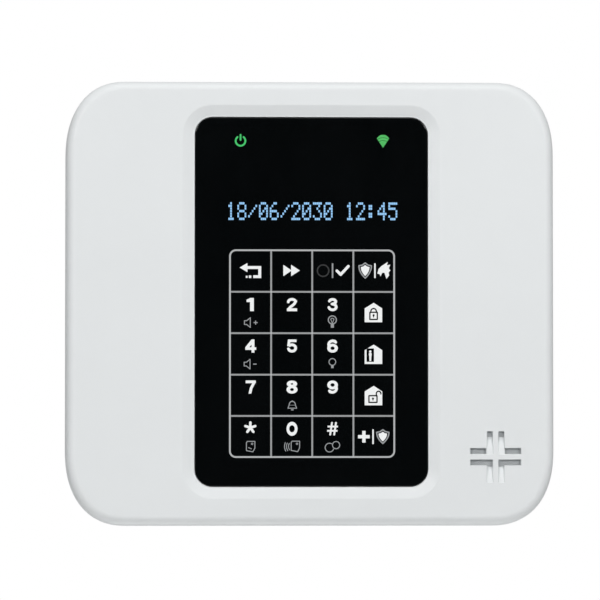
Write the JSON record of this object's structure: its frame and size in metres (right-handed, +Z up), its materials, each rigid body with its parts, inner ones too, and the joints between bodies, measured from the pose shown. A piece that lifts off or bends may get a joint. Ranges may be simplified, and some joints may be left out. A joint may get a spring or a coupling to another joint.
{
  "type": "alarm keypad panel",
  "caption": "Rounded white wall panel with a recessed black touch window holding a display and key grid, a sound grille, and a front cover hinged along its top edge over a wall-fixed rear tray.",
  "frame": {"origin": "centre of the four wall screws, on the back plane of the rear housing", "axes": "+X right seen from the front, +Z up, +Y out of the back into the wall; the front faces -Y"},
  "size_m": [0.198, 0.055, 0.18],
  "materials": {
    "white_plastic": "fine-textured moulded ABS",
    "rear_plastic": "fine-textured moulded ABS",
    "black_glass": "polished smoked window",
    "steel": "zinc plated",
    "circuit_board": "solder resist",
    "supply_board": "phenolic board",
    "black_plastic": "moulded",
    "capacitor_sleeve": "shrink sleeve",
    "tinned_steel": "tinned",
    "ivory_plastic": "moulded nylon",
    "red_plastic": "insulation",
    "battery_sleeve": "shrink sleeve",
    "transformer_tape": "polyester tape",
    "green_plastic": "moulded polyamide",
    "foam": "closed-cell foam",
    "clear_plastic": "clear acrylic",
    "copper": "enamelled copper",
    "ferrite": "ground ferrite"
  },
  "bodies": {
    "root": {"rear_housing": "rear_plastic", "hinge_pins": "steel", "cover_lock_screws": "steel", "main_board": "circuit_board", "main_board_chips": "black_plastic", "board_capacitors": "capacitor_sleeve", "main_board_screws": "steel", "radio_module": "tinned_steel", "cellular_module": "tinned_steel", "antenna": "tinned_steel", "sim_socket": "black_plastic", "network_jack": "black_plastic", "ribbon_socket": "ivory_plastic", "ribbon_cable": "ivory_plastic", "cover_tamper_switch": "black_plastic", "tamper_lever_pin": "steel", "wall_tamper_switch": "black_plastic", "wall_tamper_spring": "steel", "battery_pack": "battery_sleeve", "battery_strap": "rear_plastic", "battery_strap_screws": "steel", "battery_plug": "ivory_plastic", "battery_lead": "red_plastic", "supply_board": "supply_board", "supply_board_screws": "steel", "supply_transformer": "transformer_tape", "supply_capacitor": "capacitor_sleeve", "power_terminal_block": "green_plastic", "terminal_screws": "steel", "supply_lead": "red_plastic"},
    "cover": {"front_housing": "white_plastic", "touch_glass": "black_glass", "glass_adhesive": "foam", "touch_sensor": "clear_plastic", "keypad_light_guide": "clear_plastic", "key_backlight_leds": "ivory_plastic", "keypad_board": "circuit_board", "keypad_board_screws": "steel", "keypad_chips": "black_plastic", "keypad_ribbon_socket": "ivory_plastic", "display_glass": "black_glass", "display_frame": "steel", "indicator_light_guides": "clear_plastic", "tag_reader_coil": "copper", "speaker_mesh": "white_plastic", "speaker_gasket": "foam", "speaker_frame": "black_plastic", "speaker_cone": "black_plastic", "speaker_magnet": "ferrite", "speaker_bracket": "steel", "speaker_screws": "steel", "speaker_lead": "red_plastic"},
    "cover_tamper_lever": {"tamper_lever": "steel"},
    "wall_tamper_button": {"wall_tamper_plunger": "red_plastic"},
    "sim_tray": {"sim_lid": "steel", "sim_card": "ivory_plastic"}
  },
  "joints": [
    {"name": "cover_swing", "type": "hinge", "parent": "root", "child": "cover", "pos_m": [0, -0.027, 0.085], "axis": [-1, 0, 0], "range_deg": [0, 75], "deforming": ["ribbon_cable"]},
    {"name": "tamper_lever_release", "type": "hinge", "parent": "root", "child": "cover_tamper_lever", "pos_m": [0.067, -0.0176, 0.0275], "axis": [-1, 0, 0], "range_deg": [0, 6]},
    {"name": "wall_tamper_travel", "type": "slide", "parent": "root", "child": "wall_tamper_button", "axis": [0, 1, 0], "range_m": [0, 0.0016], "stiffness_N_per_m": 120, "springref_m": 0.005, "deforming": ["wall_tamper_spring"]},
    {"name": "sim_lid_swing", "type": "hinge", "parent": "root", "child": "sim_tray", "pos_m": [0.051, -0.0128, 0.0585], "axis": [-1, 0, 0], "range_deg": [0, 85]}
  ],
  "couplings": [
    {"joint": "tamper_lever_release", "follows": "cover_swing", "ratio": 0.08}
  ]
}
